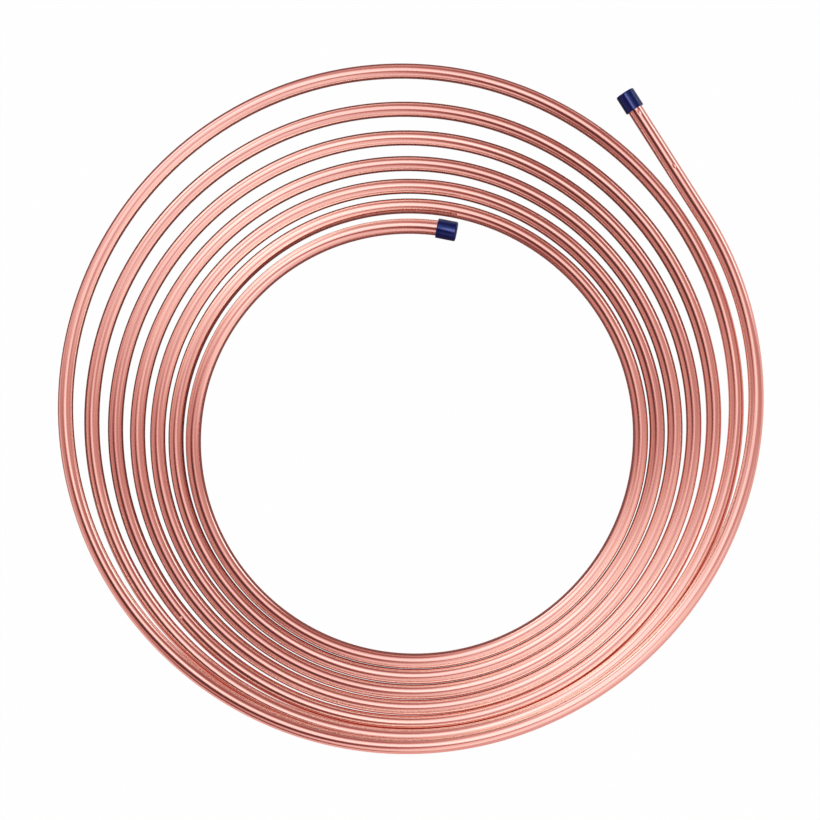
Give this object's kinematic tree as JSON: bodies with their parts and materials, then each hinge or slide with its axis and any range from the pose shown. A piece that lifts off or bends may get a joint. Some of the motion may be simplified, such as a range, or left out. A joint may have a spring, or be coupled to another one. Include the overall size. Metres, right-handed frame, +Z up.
{
  "type": "coil of copper-nickel tubing",
  "caption": "Flat open coil of round drawn copper-nickel tubing: loose eccentric turns, crowded on one side, a free tail and dark push-on plastic end caps. Stock for fluid lines.",
  "frame": {"origin": "centre of the coil's box in plan, on the floor it lies on", "axes": "+Z up through the eye, +Y to the side where the turns fan out, +X to the side of the free tail"},
  "size_m": [0.4418, 0.4318, 0.0242],
  "materials": {
    "copper_nickel": "satin drawn",
    "cap_plastic": "satin"
  },
  "bodies": {
    "root": {"coiled_tube": "copper_nickel", "inner_end_cap": "cap_plastic", "outer_end_cap": "cap_plastic"}
  },
  "joints": []
}
